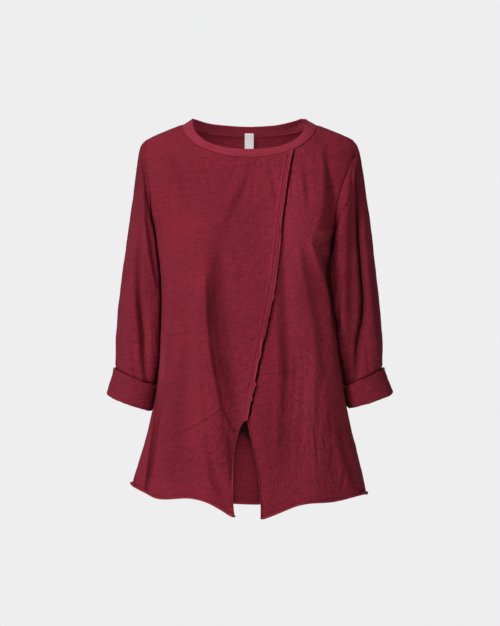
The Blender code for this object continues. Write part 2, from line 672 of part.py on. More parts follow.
main, main_out = panel("front_main", main_front_grid(), FRONT, jersey, (ridge_left, seam_first))
small, small_out = panel("front_side", small_front_grid(), FRONT, jersey, (ridge_right, seam_last))
rear, rear_out = panel("back", back_grid(), BACK, jersey, (ridge_left, ridge_right, seam_first, seam_last))

upper = slice(0, ARM_ROWS)
lower = slice(ARM_ROWS, 0, -1)
sleeve("sleeve_left", LEFT, SLEEVE_LEFT, np.concatenate([main[upper, 0], rear[lower, -1]]),
       np.concatenate([main_out[upper, 0], rear_out[lower, -1]]), jersey)
sleeve("sleeve_right", RIGHT, SLEEVE_RIGHT, np.concatenate([small[upper, -1], rear[lower, 0]]),
       np.concatenate([small_out[upper, -1], rear_out[lower, 0]]), jersey)
cuff("cuff_left", LEFT, SLEEVE_LEFT, jersey)
cuff("cuff_right", RIGHT, SLEEVE_RIGHT, jersey)
neckband(edge)
lapped_strip(main, main_out, small, small_out, edge)
label(tape)
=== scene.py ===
# %% [markdown]
# # A long-sleeved jersey t-shirt, filled out as if worn
# The real top is cut from one soft cotton jersey, sewn, and then dyed, so its edges are a little paler and
# its surface is finely crinkled. The CAD frame already has each cut piece as a thin wall in its worn shape.
# This lesson lays a finer sheet of cloth on each wall, presses the smaller creases into it, rolls
# its raw edges and sews it.

# %% Load the frame
import math

import bmesh
import bpy
import numpy as np
from collections import Counter, namedtuple
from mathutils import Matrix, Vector, bvhtree, kdtree, noise


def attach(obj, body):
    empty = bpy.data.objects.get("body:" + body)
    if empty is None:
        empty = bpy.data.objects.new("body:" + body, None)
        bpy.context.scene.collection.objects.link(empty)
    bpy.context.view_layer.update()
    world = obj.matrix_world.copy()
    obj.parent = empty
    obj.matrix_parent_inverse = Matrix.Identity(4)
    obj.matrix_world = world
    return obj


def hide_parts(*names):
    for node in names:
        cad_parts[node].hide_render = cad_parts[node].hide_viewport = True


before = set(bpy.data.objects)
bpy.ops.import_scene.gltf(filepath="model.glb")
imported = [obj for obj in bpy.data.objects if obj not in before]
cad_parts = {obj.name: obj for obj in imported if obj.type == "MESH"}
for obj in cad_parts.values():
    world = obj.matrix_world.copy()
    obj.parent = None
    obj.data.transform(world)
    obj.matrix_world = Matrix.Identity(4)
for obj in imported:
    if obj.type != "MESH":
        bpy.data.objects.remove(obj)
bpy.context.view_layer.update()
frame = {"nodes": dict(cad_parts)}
scene = bpy.context.scene
MM = 0.001              # one millimetre in metres; every size below is in millimetres
print("the frame holds", ", ".join(frame["nodes"]))

# %% [markdown]
# ## Colours and nodes
# Colours are given as sRGB hex values, but shaders work in linear light. One call adds a node, its
# settings and what feeds it.


# %% Helpers for materials
def srgb(hex_colour):
    """A linear RGBA colour from an sRGB hex value such as '7e2734'."""
    parts = [int(hex_colour[i:i + 2], 16) / 255 for i in (0, 2, 4)]
    return [c / 12.92 if c <= 0.04045 else ((c + 0.055) / 1.055) ** 2.4 for c in parts] + [1.0]


def feed(tree, node, inputs):
    """Sets a node's inputs to values, or links them to the sockets they come from."""
    for key, value in inputs.items():
        if isinstance(value, bpy.types.NodeSocket):
            tree.links.new(value, node.inputs[key])
        else:
            node.inputs[key].default_value = value


def add(tree, kind, inputs, **settings):
    """Adds a node. settings are its own properties."""
    node = tree.nodes.new("ShaderNode" + kind)
    for key, value in settings.items():
        setattr(node, key, value)
    feed(tree, node, inputs)
    return node


def new_material(name):
    """A material with its node tree, its shader and the place that its patterns read."""
    made = bpy.data.materials.new(name)
    made.use_nodes = True
    tree = made.node_tree
    return made, tree, tree.nodes["Principled BSDF"], add(tree, "TexCoord", {}).outputs["Object"]


def mixed(tree, amount, one, other):
    """A colour between two others."""
    return add(tree, "Mix", {"Factor": amount, "A": one, "B": other}, data_type="RGBA").outputs["Result"]


# %% [markdown]
# ## Garment-dyed cotton jersey
# Jersey is a fine knit: rows of loops that the eye reads as a soft, faintly streaked matt surface. Dyeing the
# sewn garment and washing it leaves a mottled colour, paler where its edges rub, and a fine crinkle
# that runs mostly across the body, with patches of upright crepe where the cloth was wrung. The knit itself
# is finer than a pixel here, so it is drawn at 2.4 mm instead of its real 0.9 mm, and kept faint. The
# patterns read Object coordinates, which never slide. Shade is painted into the colour too: it is darker the
# deeper a crease goes and in patches out of the light, and painted light makes it paler in lit patches. Deep
# in a fold hardly any light comes back out, so beyond 9 mm the painted shade goes nearly black.

# %% Cloth colour
def attribute(tree, name):
    """The number that the piece's points hold under this name."""
    return add(tree, "Attribute", {}, attribute_name=name).outputs["Fac"]


def drawn_out(tree, place, tilt, squeeze):
    """The place, turned in the front view and squeezed, so that a pattern on it is long and thin."""
    turned = add(tree, "Mapping", {"Vector": place, "Rotation": (0.0, math.radians(tilt), 0.0)})
    return add(tree, "Mapping", {"Vector": turned.outputs[0], "Scale": (1.0, 1.0, squeeze)}).outputs[0]


def noise_on(tree, place, grain, detail, roughness, distortion=0.0):
    """A noise texture whose grains are so many millimetres large."""
    return add(tree, "TexNoise", {"Vector": place, "Scale": 1000 / grain, "Detail": detail,
                                  "Roughness": roughness, "Distortion": distortion}).outputs["Fac"]


def cloth_colour(tree, place, colour, deep, pale):
    """Mottled and streaked, with painted shade in its troughs and shaded patches, paler where its edges wear
    and with painted light on lit patches.
    """
    blotch = noise_on(tree, place, 55, 4.0, 0.6)
    streak = noise_on(tree, drawn_out(tree, place, 0, 3.4), 8, 5.0, 0.66)
    fold = attribute(tree, "fold")
    tone = srgb(colour)
    # Painted shade: the tone darkens with the crease depth and the shade patches, nearly black in the deepest
    # gaps; painted light and edge wear make it paler.
    for amount, span, most, over in (
            (blotch, (0.3, 0.7), 0.35, deep), (attribute(tree, "painted_shade"), None, None, deep),
            (streak, (0.35, 0.7), 0.3, pale), (fold, (-0.8, -8.0), 0.7, deep),
            (fold, (-9.0, -13.0), 0.95, "1c0307"), (attribute(tree, "worn"), None, None, pale)):
        if span:
            amount = add(tree, "MapRange", {"Value": amount, "From Min": span[0], "From Max": span[1],
                                            "To Min": 0.0, "To Max": most}).outputs[0]
        tone = mixed(tree, amount, tone, srgb(over))
    return tone


# %% Cloth relief
def cloth_relief(tree, place, crinkle):
    """Long soft crinkles, upright crepe where the piece asks for it, slanting drags, and the knit."""
    waves = noise_on(tree, drawn_out(tree, place, 0, 1.9), 15, 5.0, 0.72, 0.9)
    crepe = noise_on(tree, drawn_out(tree, place, 6, 0.42), 8, 3.0, 0.6, 0.8)
    slant = noise_on(tree, drawn_out(tree, place, -56, 0.3), 7, 3.0, 0.55, 0.6)
    knit = noise_on(tree, drawn_out(tree, place, 0, 2.4 / 3.0), 2.4, 2.0, 0.5)
    creped = add(tree, "Math", {0: attribute(tree, "crinkled"), 1: 1.1 * crinkle}, operation="MULTIPLY")
    below = {}
    for pattern, strength, deep in ((waves, 0.92 * crinkle, 5.0), (crepe, creped.outputs[0], 4.5),
                                    (slant, attribute(tree, "dragged"), 4.0), (knit, 0.45, 0.7)):
        bump = add(tree, "Bump", {"Height": pattern, "Strength": strength, "Distance": deep * MM, **below})
        below = {"Normal": bump.outputs["Normal"]}
    return below["Normal"]


# %% Cloth materials
def jersey(name, colour, deep, pale, crinkle=1.0):
    """Matt knit cloth. deep is the colour of its mottling and of the painted shade in troughs and shaded
    patches, pale the one of its streaks, its edge wear and the painted light on lit patches.
    """
    made, tree, shader, place = new_material(name)
    feed(tree, shader, {"Base Color": cloth_colour(tree, place, colour, deep, pale),
                        "Normal": cloth_relief(tree, place, crinkle), "Roughness": 0.92,
                        "Specular IOR Level": 0.15, "Sheen Weight": 0.04, "Sheen Roughness": 0.55,
                        "Sheen Tint": srgb("d98a92")})
    made.diffuse_color = srgb(colour)
    return made


body_cloth = jersey("garment_dyed_jersey", "842031", "58101b", "a03042")
sleeve_cloth = jersey("garment_dyed_sleeve", "7e1e2f", "500e18", "993042")
edge_cloth = jersey("folded_jersey_edge", "8f293a", "681522", "ad3c4e", crinkle=0.45)
raw_cloth = jersey("raw_jersey_edge", "832233", "5c131f", "a63648", crinkle=0.7)
print("cloth materials:", body_cloth.name, sleeve_cloth.name, edge_cloth.name)

# %% [markdown]
# ## From a wall to a sheet
# A CAD wall is closed: an outer face, an inner face and a narrow rim. Cloth is easier to crease as a single
# sheet that gets its thickness last. The wall's edges are sharp only at the rim, so the copy is split there
# and its outer face kept. Subdivision flows along quads, but the wall comes in triangles, each cell of its
# grid cut once across. On a panel, counting finds the cuts: every triangle has one, and a point inside the
# grid has four edges that aren't. Where that leaves a choice, the squarest cell is next. A tube has no corner
# for the count to start from, so there the joining operator has to guess.

# %% Split a CAD wall at its rim
RIM_ANGLE = math.radians(52)
SLIVERS = 6
TUBES = ("sleeve_left", "sleeve_right")


def form_of(piece):
    form = bmesh.new()
    form.from_mesh(piece.data)
    return form


def merged_copy(node):
    """A merged copy of a CAD node's mesh."""
    form = form_of(frame["nodes"][node])
    bmesh.ops.remove_doubles(form, verts=form.verts, dist=0.002 * MM)
    return form


def areas_between(form, borders):
    """The form's faces in groups that hang together without crossing a border edge. A group of a few
    slivers isn't an area of its own, so it joins the neighbour it shares most of its border with."""
    group_of = {}
    groups = []
    for first in form.faces:
        if first in group_of:
            continue
        group = [first]
        group_of[first] = len(groups)
        for face in group:
            for edge in face.edges:
                for other in edge.link_faces if edge not in borders else ():
                    if other not in group_of:
                        group_of[other] = len(groups)
                        group.append(other)
        groups.append(group)
    for index, group in enumerate(groups):
        if len(group) <= SLIVERS:
            shared = Counter()
            for face in group:
                for edge in face.edges:
                    for other in edge.link_faces:
                        shared[group_of[other]] += edge.calc_length()
            del shared[index]
            home = max(shared, key=shared.get)
            if shared[home] > 0.46 * sum(shared.values()):
                groups[home] += group
                group_of.update({face: home for face in group})
                groups[index] = []
    return [group for group in groups if group]


# %% Find the grid that a wall was cut from
def into_quads(form):
    bmesh.ops.join_triangles(form, faces=form.faces, angle_face_threshold=RIM_ANGLE,
                             angle_shape_threshold=math.pi, topology_influence=2.0)


def squareness(edge):
    """How far the four corners of the two triangles beside an edge are from square."""
    tips = [next(vert for vert in face.verts if vert not in edge.verts) for face in edge.link_faces]
    corners = [edge.verts[0], tips[0], edge.verts[1], tips[1]]
    total = 0.0
    for i, vert in enumerate(corners):
        to_last, to_next = corners[i - 1].co - vert.co, corners[(i + 1) % 4].co - vert.co
        total += abs(to_last.angle(to_next) - math.pi / 2)
    return total


def cell_cuts(form):
    """The edges that cut the cells of a triangulated grid across."""
    is_cut = {edge: False for edge in form.edges if len(edge.link_faces) == 1}
    counts = [(list(face.edges), 1) for face in form.faces]
    counts += [(list(vert.link_edges), len(vert.link_edges) - 4) for vert in form.verts
               if not vert.is_boundary]
    while len(is_cut) < len(form.edges):
        settled = False
        for edges, count in counts:
            unknown = [edge for edge in edges if edge not in is_cut]
            left = count - sum(is_cut[edge] for edge in edges if edge in is_cut)
            if unknown and (left <= 0 or left == len(unknown)):
                is_cut.update({edge: left > 0 for edge in unknown})
                settled = True
        if not settled:
            is_cut[min((edge for edge in form.edges if edge not in is_cut), key=squareness)] = True
    return [edge for edge in form.edges if is_cut[edge]]


# %% Take the outer face
def outer_sheet(node):
    """The outer face of a CAD wall, as an open sheet of quads."""
    form = merged_copy(node)
    rim = {edge for edge in form.edges if edge.calc_face_angle(0.0) > RIM_ANGLE}
    middle = sum((v.co for v in form.verts), Vector()) / len(form.verts)
    two = sorted(areas_between(form, rim), key=lambda group: -sum(face.calc_area() for face in group))[:2]
    facing = [sum(f.calc_area() * f.normal.dot(f.calc_center_median() - middle) for f in group)
              for group in two]
    keep = set(two[facing.index(max(facing))])
    bmesh.ops.delete(form, geom=[face for face in form.faces if face not in keep], context="FACES")
    if node in TUBES:
        into_quads(form)
    else:
        bmesh.ops.dissolve_edges(form, edges=cell_cuts(form), use_verts=False)
    return form


# %% Make objects and apply modifiers
def piece_from(form, name, material):
    """An object at the origin from a bmesh, with one material."""
    mesh = bpy.data.meshes.new(name)
    form.to_mesh(mesh)
    form.free()
    mesh.materials.append(material)
    piece = bpy.data.objects.new(name, mesh)
    scene.collection.objects.link(piece)
    return piece


def apply_modifiers(piece):
    """Replaces the piece's mesh by what its modifiers make of it."""
    seen = piece.evaluated_get(bpy.context.evaluated_depsgraph_get())
    mesh = bpy.data.meshes.new_from_object(seen)
    old = piece.data
    piece.modifiers.clear()
    piece.data = mesh
    bpy.data.meshes.remove(old)
    mesh.name = piece.name


def subdivide(piece, levels):
    """Smooths and refines the piece, keeping the corners of its outline."""
    finer = piece.modifiers.new("finer", "SUBSURF")
    finer.levels = finer.render_levels = levels
    finer.boundary_smooth = "PRESERVE_CORNERS"
    apply_modifiers(piece)


# %% Read and move a piece's points
def points_of(piece):
    """The piece's points and outward directions, as arrays, in millimetres."""
    mesh = piece.data
    places = np.empty(len(mesh.vertices) * 3)
    mesh.vertices.foreach_get("co", places)
    outward = np.empty(len(mesh.vertices) * 3)
    mesh.vertex_normals.foreach_get("vector", outward)
    return places.reshape(-1, 3) / MM, outward.reshape(-1, 3)


def refined(form, name, material, levels):
    """A refined piece from a coarse form, with its points and outward directions."""
    piece = piece_from(form, name, material)
    subdivide(piece, levels)
    return piece, *points_of(piece)


def put_points(piece, places):
    piece.data.vertices.foreach_set("co", (places * MM).ravel())
    piece.data.update()


def remember(piece, name, values):
    """Keeps a number for each point, for a material to read."""
    layer = piece.data.attributes.get(name) or piece.data.attributes.new(name, "FLOAT", "POINT")
    layer.data.foreach_set("value", values.astype(np.float32))


# %% Hand a finished piece over
def hand_over(piece, node):
    """Shades the finished piece smooth, and puts it in its CAD node's place."""
    piece.data.shade_smooth()
    piece.data.set_sharp_from_angle(angle=math.radians(70))
    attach(piece, "root")
    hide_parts(node)
    print(piece.name, len(piece.data.polygons), "faces")


# %% [markdown]
# ## Creases, placed one by one
# Each crease is a line of a few places, drawn downwards, in millimetres across and down from the top of the
# shoulder. With no fall it is a plain trough. With a fall of 1 the cloth drops away on the line's right side,
# which reads as a dark line with a light one beside it; less than 0 drops away on its left. A depth below 0
# makes a ridge. They are as uneven as on the worn top: long soft ones hang from the chest, short sharp ones
# sit beside the slanting seam and near the hem.

# %% Read crease tables
FRONT, BACK = -1, 1
PRESS = 1.8             # how hard all the creases are pressed in, as a share of their depths below
Crease = namedtuple("Crease", "depth width fall path")


def creases(table):
    """Reads rows of a crease's depth, width and fall, and then its path, each place as across,drop."""
    rows = [line.split() for line in table.splitlines() if line and line[0] != "#"]
    return [Crease(*map(float, row[:3]), [[float(part) for part in place.split(",")] for place in row[3:]])
            for row in rows]


# %% Creases of the front
FRONT_CREASES = creases("""
# dragged down and left from the neckband
1.9   9  0.8 1,87 -8,120 -21,148 -36,180 -44,204
1.0   5  0.7 -24,84 -37,117
0.9   5  0.8 12,84 5,117 1,157
1.3   6  0.6 34,88 44,135 49,167
0.7   4  0.6 60,80 56,120
1.5  11  0.5 -32,231 -24,272 -11,316
# left shoulder and armhole
1.8  11  0.7 -146,69 -135,106 -129,157
0.7 3.5  0.8 -150,120 -148,167 -144,222
1.0 3.2  0.8 -172,93 -171,157 -168,222
0.9   6  0.6 -135,185 -131,250 -135,305
# right chest and armhole
1.7   8  0.7 99,80 104,130 108,172
0.8   4  0.6 77,106 77,157
3.4   9  0.8 141,66 145,120 143,168 134,205
2.6   6  0.5 155,120 153,176 150,203
-2.4   6  0.0 158,207 148,212 134,224
2.0   6  0.6 154,223 134,238
4.4   9  0.9 124,234 137,270 149,316 158,362
# the larger panel, down its middle
2.6  15  0.7 -62,214 -66,262 -70,310 -70,360 -66,400
5.6  18 0.75 -69,286 -71,345 -66,400 -59,452 -50,500 -44,544 -40,600 -35,660
1.8   6  0.9 -78,300 -77,350 -73,415 -65,471 -56,517 -48,560
1.3   5  0.7 -50,342 -46,397 -39,434 -30,462
0.9   5  0.7 -36,330 -33,380 -24,430 -16,470
1.0 4.5  0.7 -26,470 -34,510 -30,548
0.9   4  0.8 -48,470 -40,500 -36,530
1.9 3.8  0.8 -45,549 -36,572 -24,597
1.0 3.6  0.7 -32,524 -27,556
2.6   9  0.3 -83,596 -76,627 -65,673 -50,708 -37,734
2.4   8  0.6 -39,606 -33,650 -30,712
# and down its left
2.2  11  0.6 -120,330 -124,397 -130,471 -133,544 -137,600 -137,668
1.1   5  0.8 -91,425 -89,489 -83,563 -78,606
1.1 4.2  0.8 -142,222 -144,286 -148,342 -153,397 -159,443 -165,498 -170,544
4.6   6  0.6 -171,500 -177,570 -184,626 -191,670 -195,696
2.2 3.6  0.3 -176,560 -184,620 -190,690
# thin creases low on the left
1.5 3.0  0.8 -50,543 -82,563 -109,578 -131,589 -161,602 -182,614
1.2 3.0  0.8 -150,646 -145,660 -141,680
0.8 3.0  0.8 -62,535 -74,545
0.6 3.0 -0.6 -165,502 -140,511
0.5 3.4  0.5 -126,634 -100,640
0.6 3.4  0.5 -96,590 -74,598 -58,616
0.6 3.4  0.5 -110,612 -84,616 -66,634
0.8 3.2  0.7 -82,652 -70,676 -58,694
0.7 3.2  0.7 -92,660 -80,684 -66,704
0.7 4.0  0.5 -160,690 -150,676
# puckers beside the slanting seam
0.7 4.0  0.5 40,300 30,312
0.9 4.0  0.7 14,406 0,420
1.0 4.0  0.7 4,428 -12,442
0.9 3.6  0.7 -1,452 -14,460
1.2 4.2  0.8 -3,468 -22,478
1.3 4.6  0.8 -5,486 -24,498
1.2 4.4  0.8 -7,504 -28,518
1.0 4.0  0.7 -10,524 -26,536
# the smaller panel
3.0   5 0.95 117,237 130,278 143,323 150,360 156,400
3.4  10  0.7 99,254 105,286 114,327 123,375 128,425 134,484
2.2   8  0.8 153,352 160,420 168,484
1.8   9  0.5 127,478 127,526 123,576
4.4  13  0.6 58,290 60,350 62,415 66,489 60,563 58,640
1.5   5  0.8 84,440 80,520 74,590 70,650
1.6   9  0.5 40,520 36,590 40,650
1.4   8  0.5 96,500 90,600 87,664
3.4  10  0.7 163,575 176,636 194,688
1.7 3.2  0.8 119,578 122,618 125,652
1.2 3.2  0.8 145,552 150,592
1.2 3.5  0.8 150,612 147,657
0.9 3.0  0.8 136,598 141,624
1.0 4.0  0.7 99,686 79,700
0.9 4.0  0.7 130,667 112,681
0.9 4.0  0.6 47,653 34,674
1.0 4.0  0.7 176,652 167,694
0.9 5.0  0.6 58,690 40,712
""")

# %% Creases of the back
BACK_CREASES = creases("""
0.9   8  0.5 -60,50 -52,112
1.0   8  0.5 46,50 40,122
1.8  12  0.5 -6,56 -10,130 -16,222
2.6  12  0.6 -128,96 -104,200 -92,300
2.6  12  0.6 130,96 104,210 98,320
1.8   7  0.7 -148,240 -100,262 -50,264
1.7   7  0.7 140,244 92,276 46,282
1.2   7  0.6 -86,296 -30,312 22,314
1.0   6  0.6 96,322 58,336 24,334
2.4  12  0.6 -40,380 -46,470 -42,560
2.8  12  0.7 74,390 78,500 86,640
2.8  12  0.6 -112,440 -118,560 -128,690
2.0  10  0.6 16,540 22,640 24,720
2.8  11  0.6 140,520 150,610 166,700
1.3 3.4  0.8 110,596 70,606 16,626
1.2 3.4  0.8 -54,622 -96,646
1.2 3.4  0.7 -150,556 -152,604
1.1 3.4  0.8 52,650 58,694
1.0 4.0  0.7 -74,660 -70,706
""")

# %% Creases of the sleeves
SLEEVE_CREASES = {}
SLEEVE_CREASES["sleeve_left", FRONT] = creases("""
5.2 8.5  0.7 -211,214 -213,285 -209,341 -203,398 -200,454 -194,503
2.4   5  0.8 -196,134 -192,200 -185,257 -174,313
1.8 3.6  0.8 -247,400 -245,460
1.4   6  0.7 -224,420 -213,503
-1.8   9  0.0 -187,372 -183,492
1.0   8  0.5 -226,80 -224,160
1.2   8  0.6 -234,250 -238,330
1.6   6  0.7 -172,400 -168,496
""")
SLEEVE_CREASES["sleeve_right", FRONT] = creases("""
6.4   8 0.25 200,70 204,153 205,228 208,285 212,341 210,379 202,426 197,473 193,503
3.8 3.0  0.2 201,90 204,153 205,228 208,285 212,341 210,379 202,426 197,473
4.4  14 0.85 180,190 181,250 183,341 182,400 179,454 176,503
-2.4   8  0.0 183,104 182,210 183,300
3.6 5.5  0.5 227,256 234,322 240,388 244,435 248,472
3.0   6  0.6 172,306 165,360 161,400
1.1   5  0.7 216,420 222,478
1.2 2.6  0.5 194,50 184,59
1.0 2.6  0.5 190,62 182,73
""")
SLEEVE_CREASES["sleeve_left", BACK] = creases("""
2.6  10  0.5 -206,130 -212,220 -214,300
2.0   6  0.7 -196,250 -222,276 -240,282
1.8   6  0.7 -190,316 -214,338 -238,344
2.6   9  0.6 -200,370 -204,500
1.6   6  0.6 -226,400 -228,480
""")
SLEEVE_CREASES["sleeve_right", BACK] = creases("""
2.6  10  0.5 204,120 210,220 216,310
2.0   6  0.7 190,250 214,278 238,286
1.8   6  0.7 188,322 212,342 240,350
2.6   9  0.6 206,380 204,500
1.6   6  0.6 228,410 232,484
""")
print("creases:", len(FRONT_CREASES), "in front,", len(BACK_CREASES), "behind")


# %% Soft steps and bumps
def bell(t):
    """1 in the middle, falling softly to 0 on both sides."""
    return np.exp(-t ** 2)


def ramp(t):
    return np.clip(t, 0, 1)


# %% Press creases into a sheet
def press(places, outward, creases, face):
    """How far each point moves out for these creases, seen from one face."""
    seen = ramp(outward[:, 1] * face * 4.0 - 0.1)
    view = np.stack([places[:, 0], -places[:, 2]], axis=1)
    height = np.zeros(len(places))
    for crease in creases:
        path = np.array(crease.path, float)
        steps = np.diff(path, axis=0)
        lengths = np.linalg.norm(steps, axis=1)
        starts = np.concatenate([[0], np.cumsum(lengths)])
        near, right, run = np.full(len(view), np.inf), np.zeros(len(view)), np.zeros(len(view))
        for start, step, length, before in zip(path, steps, lengths, starts):
            along = ramp((view - start) @ step / length ** 2)
            gap = view - start - along[:, None] * step
            distance = np.linalg.norm(gap, axis=1)
            closer = distance < near
            near = np.where(closer, distance, near)
            right = np.where(closer, (step[1] * gap[:, 0] - step[0] * gap[:, 1]) / length, right)
            run = np.where(closer, (before + along * length) / starts[-1], run)
        beyond = near ** 2 - right ** 2
        t = right / crease.width
        ends = np.sin(ramp(0.10 + 0.82 * run) * np.pi) ** 0.7
        ends *= np.exp(-np.maximum(beyond, 0) / crease.width ** 2)
        height -= PRESS * crease.depth * ends * (1 - abs(crease.fall) + crease.fall * 1.6 * t) * bell(t)
    return height * seen


def unevenness(places, size, amount, seed):
    """Slow swells and dips, so that no stretch of cloth is quite smooth."""
    shift = Vector((seed * 17.3, seed * 5.1, 0))
    return np.array([noise.fractal(Vector(p) / size + shift, 0.8, 2.1, 3) for p in places]) * amount


# %% Patches
# side, drop, width, height and amount of each soft-edged patch
CREPED = (   # where the cloth is crinkled most
    (-36, 440, 26, 150, 1), (-30, 620, 20, 70, 0.9), (2, 280, 34, 90, 0.5), (100, 560, 46, 130, 0.9),
    (140, 430, 24, 130, 0.7), (66, 450, 16, 120, 0.5), (150, 640, 34, 70, 0.8), (-130, 560, 34, 90, 0.4),
    (40, 690, 40, 50, 0.6), (88, 92, 24, 26, 0.7), (18, 104, 34, 40, 0.5), (-110, 300, 30, 120, 0.3),
)
SHADED = (   # where the smaller panel turns under at the armhole, out of the light
    (160, 222, 7, 20, -8), (157, 320, 6, 80, -5), (154, 247, 4.5, 22, -10),
)
DRAGGED = (   # where thin creases run up to the right
    (-52, 612, 28, 60, 1), (-100, 648, 44, 40, 0.5), (6, 486, 18, 50, 0.9), (-150, 560, 26, 60, 0.4),
    (96, 690, 60, 26, 0.6), (20, 330, 14, 60, 0.5),
)
PAINTED_SHADE_PATCHES = (   # painted shade: patches where the front is painted darker, standing for shade
    (-46, 410, 34, 130, 0.3), (-128, 650, 34, 50, 0.3), (56, 610, 34, 100, 0.48),
    (150, 250, 16, 70, 0.35), (-30, 210, 60, 60, 0.18), (-142, 560, 24, 110, 0.38),
    (-128, 110, 60, 80, 0.28), (-8, 160, 36, 70, 0.18), (-206, 100, 26, 70, 0.4),
)
PAINTED_LIGHT_PATCHES = (   # painted light: patches painted paler, standing for light on the smaller panel and beside the left sleeve
    (84, 235, 40, 130, 0.75), (118, 470, 22, 160, 0.75), (-187, 320, 9, 150, 0.6), (-166, 440, 8, 70, 0.6),
)
FULL = (   # where a sleeve rests against the body and swells towards it, in millimetres
    (164, 210, 9, 30, 3), (-170, 490, 8, 60, 3), (150, 289, 10, 34, 3.1),
)


def patches_at(places, patches):
    """The patches added up at each place."""
    total = np.zeros(len(places))
    for side, drop, width, height, amount in patches:
        total += amount * bell((places[:, 0] - side) / width) * bell((-places[:, 2] - drop) / height)
    return total


# %% [markdown]
# ## Seams and raw edges
# Where two pieces are sewn together the cloth dips into the seam, so points near such an edge sink a little
# and the edge is drawn towards its neighbour. The hem and the slit are left raw, and raw jersey rolls over
# towards its face. The roll is made by extruding the edge a few times, each step turned further over.

# %% Find a sheet's edges
CURLED = (-216, -32, 24, 211)       # across, in millimetres: the hem's corners, where the roll is thickest


def edge_frames(form):
    """For each point on the sheet's outline: the direction off the sheet and the outward one."""
    frames = {}
    for edge in form.edges:
        if len(edge.link_faces) != 1:
            continue
        face = edge.link_faces[0]
        along = (edge.verts[1].co - edge.verts[0].co).normalized()
        off = along.cross(face.normal)
        if off.dot(face.calc_center_median() - edge.verts[0].co) > 0:
            off = -off
        for vert in edge.verts:
            frames.setdefault(vert, [Vector(), Vector()])
            frames[vert][0] += off
            frames[vert][1] += face.normal
    return {vert: (off.normalized(), out.normalized()) for vert, (off, out) in frames.items()}


def outline(form, belongs):
    """The outline edges whose middle and direction pass the test."""
    chosen = []
    for edge in form.edges:
        if len(edge.link_faces) == 1:
            middle = (edge.verts[0].co + edge.verts[1].co) / 2 / MM
            along = (edge.verts[1].co - edge.verts[0].co).normalized()
            if belongs(middle, along):
                chosen.append(edge)
    return chosen


# %% Sink sewn edges
def tree_of(places):
    """A search tree that finds the nearest of these places."""
    tree = kdtree.KDTree(len(places))
    for index, place in enumerate(places):
        tree.insert(place, index)
    tree.balance()
    return tree


def sink_seams(form, edges, draw, depth=0.9, reach=2.6):
    """Draws these edges out by draw and sinks the cloth beside them, as sewing does."""
    if not edges:
        return
    frames = edge_frames(form)
    on_edge = {vert for edge in edges for vert in edge.verts}
    ends = []
    for edge in edges:
        ends += [edge.verts[0].co.lerp(edge.verts[1].co, share) for share in (0.0, 0.33, 0.67)]
    tree = tree_of(ends)
    for vert in form.verts:
        distance = tree.find(vert.co)[2] / MM
        if distance < 4 * reach:
            pull = 1 + 0.5 * noise.noise(vert.co / MM / 14)
            vert.co -= vert.normal * depth * pull * MM * math.exp(-(distance / reach) ** 2)
    for vert in on_edge:
        vert.co += frames[vert][0] * draw * MM


# %% Extrude a sheet's edges
def extrude_ring(form, ring, root):
    """Extrudes these edges, and notes in root the point of the sheet that each new point comes from."""
    made = bmesh.ops.extrude_edge_only(form, edges=ring)["geom"]
    fresh = {item for item in made if isinstance(item, bmesh.types.BMVert)}
    for vert in fresh:
        root[vert] = next(root[edge.other_vert(vert)] for edge in vert.link_edges
                          if edge.other_vert(vert) not in fresh)
    ring = [item for item in made if isinstance(item, bmesh.types.BMEdge)
            and all(vert in fresh for vert in item.verts)]
    return ring, fresh


# %% Roll raw edges
def roll_edge(form, edges, radius, turn, steps, seed):
    """Rolls a raw edge over towards the outer face, unevenly along its length. The edge is drawn back
    first by the roll's own size, so that the roll ends where the CAD wall does."""
    frames = edge_frames(form)
    worn = form.verts.layers.float["worn"]
    start = {vert for edge in edges for vert in edge.verts}
    place = {vert: vert.co.copy() for vert in start}
    root = {vert: vert for vert in start}
    size = {}
    for vert in start:
        wave = 1 + 0.45 * noise.noise(Vector((seed, 0, 0)) + place[vert] / MM / 16)
        curl = sum(math.exp(-((vert.co.x / MM - corner) / 4.5) ** 2) for corner in CURLED if vert.co.y < 0)
        size[vert] = radius * MM * (wave + 0.6 * curl)
        vert[worn] = max(vert[worn], 0.35)
        vert.co -= frames[vert][0] * size[vert]
    ring = edges
    for step in range(1, steps + 1):
        ring, fresh = extrude_ring(form, ring, root)
        for vert in fresh:
            first = root[vert]
            off, out = frames[first]
            angle = math.radians(turn * (1 + 0.30 * noise.noise(place[first] / MM / 9))) * step / steps
            vert.co = place[first] + (off * (math.sin(angle) - 1) + out * (1 - math.cos(angle))) * size[first]
            vert[worn] = 0.55


# %% Tuck sewn edges under, and give the sheet its thickness
def tuck_edges(form, edges, reach, depth):
    """Carries sewn edges on under the neighbouring piece, as a seam allowance lies inside a garment."""
    frames = edge_frames(form)
    root = {vert: vert for edge in edges for vert in edge.verts}
    place = {vert: vert.co.copy() for vert in root}
    ring = edges
    for off_share, in_share in ((0.1, 0.6), (0.4, 1.0), (1.0, 1.25)):
        ring, fresh = extrude_ring(form, ring, root)
        for vert in fresh:
            off, out = frames[root[vert]]
            vert.co = place[root[vert]] + (off * reach * off_share - out * depth * in_share) * MM


def thicken(form, piece, thickness):
    """Puts the sheet back in its piece and gives it its thickness, inwards from the outer face."""
    form.to_mesh(piece.data)
    form.free()
    wall = piece.modifiers.new("thickness", "SOLIDIFY")
    wall.thickness = thickness * MM
    wall.offset = -1.0
    wall.use_quality_normals = True
    apply_modifiers(piece)


# %% [markdown]
# ## Loops round an opening
# A CAD wall's sharp rim edges say where its openings run. How far a place lies from such a loop tells where a
# groove, a fold or a seam's shadow belongs.

